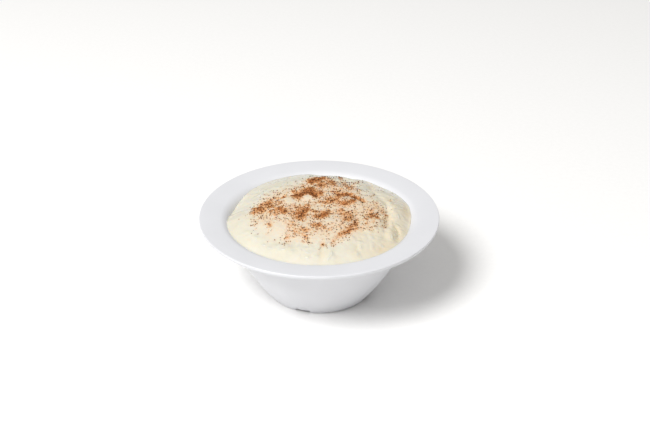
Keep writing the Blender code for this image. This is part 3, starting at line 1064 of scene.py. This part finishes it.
def mix_node(nodes, links, factor, first, second):
    """Mix of two colour sockets by a factor."""
    mix = nodes.new("ShaderNodeMix")
    mix.data_type = "RGBA"
    links.new(factor, mix.inputs["Factor"])
    links.new(first, mix.inputs["A"])
    links.new(second, mix.inputs["B"])
    return mix.outputs["Result"]


def product_node(nodes, links, first, second):
    """Product of two sockets."""
    node = nodes.new("ShaderNodeMath")
    node.operation = "MULTIPLY"
    links.new(first, node.inputs[0])
    links.new(second, node.inputs[1])
    return node.outputs["Value"]


def stained(nodes, links, clean, where):
    """A colour tinted by the cinnamon that has soaked in, from peach to deep rust."""
    powder = noise_node(nodes, links, where, scale=900.0, detail=3.0)
    powder = ramp_node(nodes, links, powder, STAIN_POWDER)
    stain = product_node(nodes, links, attribute_node(nodes, "stain"), powder)
    rust = ramp_node(nodes, links, stain, STAIN)
    share = ramp_node(nodes, links, stain, STAIN_SHARE)
    return mix_node(nodes, links, share, clean, rust)


def moist_colour(nodes, links, where, scale, plain, shade_tinted):
    """Clouded colour of moist food, darkened and warmed by painted shade in places and stained by
    cinnamon.
    """
    clouds = noise_node(nodes, links, where, scale=scale, detail=3.0)
    plain = ramp_node(nodes, links, clouds, plain)
    shade_tinted = ramp_node(nodes, links, clouds, shade_tinted)
    # the "tan" attribute mixes in painted warm shade
    clean = mix_node(nodes, links, attribute_node(nodes, "tan"), plain, shade_tinted)
    return stained(nodes, links, clean, where)


def bowl_material():
    material, nodes, links, shader = new_material("white_moulded_ware")
    where = where_node(nodes)
    clouds = noise_node(nodes, links, where, scale=40.0, detail=3.0)
    links.new(ramp_node(nodes, links, clouds, WARE), shader.inputs["Base Color"])
    waves = noise_node(nodes, links, where, scale=90.0, detail=2.0)
    rough = ramp_node(nodes, links, waves, WARE_ROUGHNESS)
    links.new(rough, shader.inputs["Roughness"])
    bump = bump_node(nodes, links, waves, strength=0.15, distance=0.0003)
    links.new(bump, shader.inputs["Normal"])
    return material


def pudding_material():
    material, nodes, links, shader = new_material("rice_cream")
    where = where_node(nodes)
    colour = moist_colour(nodes, links, where, 70.0, CREAM, CREAM_SHADE_TINTED)
    links.new(colour, shader.inputs["Base Color"])
    shader.inputs["Subsurface Weight"].default_value = 0.35
    shader.inputs["Subsurface Radius"].default_value = (1.0, 0.7, 0.4)
    shader.inputs["Subsurface Scale"].default_value = 0.002
    dull = ramp_node(nodes, links, attribute_node(nodes, "stain"), CREAM_ROUGHNESS)
    links.new(dull, shader.inputs["Roughness"])
    fine = noise_node(nodes, links, where, scale=500.0, detail=2.0)
    bump = bump_node(nodes, links, fine, strength=0.12, distance=0.0002)
    links.new(bump, shader.inputs["Normal"])
    return material


def rice_material():
    material, nodes, links, shader = new_material("cooked_rice")
    where = where_node(nodes)
    colour = moist_colour(nodes, links, where, 160.0, RICE, RICE_SHADE_TINTED)
    links.new(colour, shader.inputs["Base Color"])
    shader.inputs["Subsurface Weight"].default_value = 0.5
    shader.inputs["Subsurface Radius"].default_value = (1.0, 0.8, 0.5)
    shader.inputs["Subsurface Scale"].default_value = 0.002
    shader.inputs["Roughness"].default_value = 0.34
    return material


def cinnamon_material():
    material, nodes, links, shader = new_material("ground_cinnamon")
    colour = ramp_node(nodes, links, attribute_node(nodes, "tone"), CINNAMON)
    links.new(colour, shader.inputs["Base Color"])
    shader.inputs["Roughness"].default_value = 0.8
    shader.inputs["Specular IOR Level"].default_value = 0.3
    return material


def floor_material():
    material, nodes, links, shader = new_material("studio_white")
    where = where_node(nodes)
    grain = noise_node(nodes, links, where, scale=300.0, detail=2.0)
    links.new(ramp_node(nodes, links, grain, FLOOR), shader.inputs["Base Color"])
    shader.inputs["Roughness"].default_value = 0.9
    shader.inputs["Specular IOR Level"].default_value = 0.1
    return material


# ---------------------------------------------------------------- stage, light and camera

def make_floor():
    bpy.ops.mesh.primitive_circle_add(vertices=FLOOR_SIDES, radius=FLOOR_RADIUS * MM,
                                      fill_type="NGON", location=(0.0, 0.0, -FLOOR_DROP * MM))
    floor = bpy.context.object
    floor.name = "studio_floor"
    floor.data.materials.append(floor_material())


def make_key():
    """A disc that lights the bowl with KEY_STRENGTH watts per square metre."""
    data = bpy.data.lights.new("key", "AREA")
    data.shape = "DISK"
    data.size = KEY_WIDTH * MM
    data.energy = KEY_STRENGTH * math.pi * (KEY_DISTANCE * MM) ** 2
    key = bpy.data.objects.new("key", data)
    level = math.cos(KEY_ELEVATION)
    towards = Vector((level * math.sin(KEY_FROM), -level * math.cos(KEY_FROM),
                      math.sin(KEY_ELEVATION)))
    key.location = (towards * KEY_DISTANCE + Vector((0.0, 0.0, RIM_HEIGHT))) * MM
    key.rotation_euler = towards.to_track_quat("Z", "Y").to_euler()
    bpy.context.scene.collection.objects.link(key)


def make_surround():
    world = bpy.data.worlds.new("surround")
    world.use_nodes = True
    nodes, links = world.node_tree.nodes, world.node_tree.links
    direction = nodes.new("ShaderNodeTexCoord").outputs["Generated"]
    split = nodes.new("ShaderNodeSeparateXYZ")
    links.new(direction, split.inputs["Vector"])
    stops = ((0.0, SURROUND_LEVEL), (1.0, SURROUND_ABOVE))
    rise = ramp_node(nodes, links, split.outputs["Z"], stops)
    links.new(rise, nodes["Background"].inputs["Color"])
    bpy.context.scene.world = world


def make_camera():
    data = bpy.data.cameras.new("camera")
    data.lens = VIEW_LENS
    camera = bpy.data.objects.new("camera", data)
    back = Vector((0.0, -math.cos(VIEW_ELEVATION), math.sin(VIEW_ELEVATION)))
    camera.location = (Vector(VIEW_TARGET) + back * VIEW_DISTANCE) * MM
    camera.rotation_euler = (math.pi / 2.0 - VIEW_ELEVATION, 0.0, 0.0)
    bpy.context.scene.collection.objects.link(camera)
    bpy.context.scene.camera = camera


# ---------------------------------------------------------------- build

bpy.context.scene.view_settings.view_transform = "Standard"
make_camera()
make_key()
make_surround()
make_floor()

bowl = make_bowl()
bowl.data.materials.append(bowl_material())
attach(bowl, "root")
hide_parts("bowl")

pudding = make_pudding()
pudding.data.materials.append(pudding_material())
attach(pudding, "root")
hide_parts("pudding")

rice = make_rice()
rice.data.materials.append(rice_material())
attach(rice, "root")

cinnamon = make_cinnamon()
cinnamon.data.materials.append(cinnamon_material())
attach(cinnamon, "root")
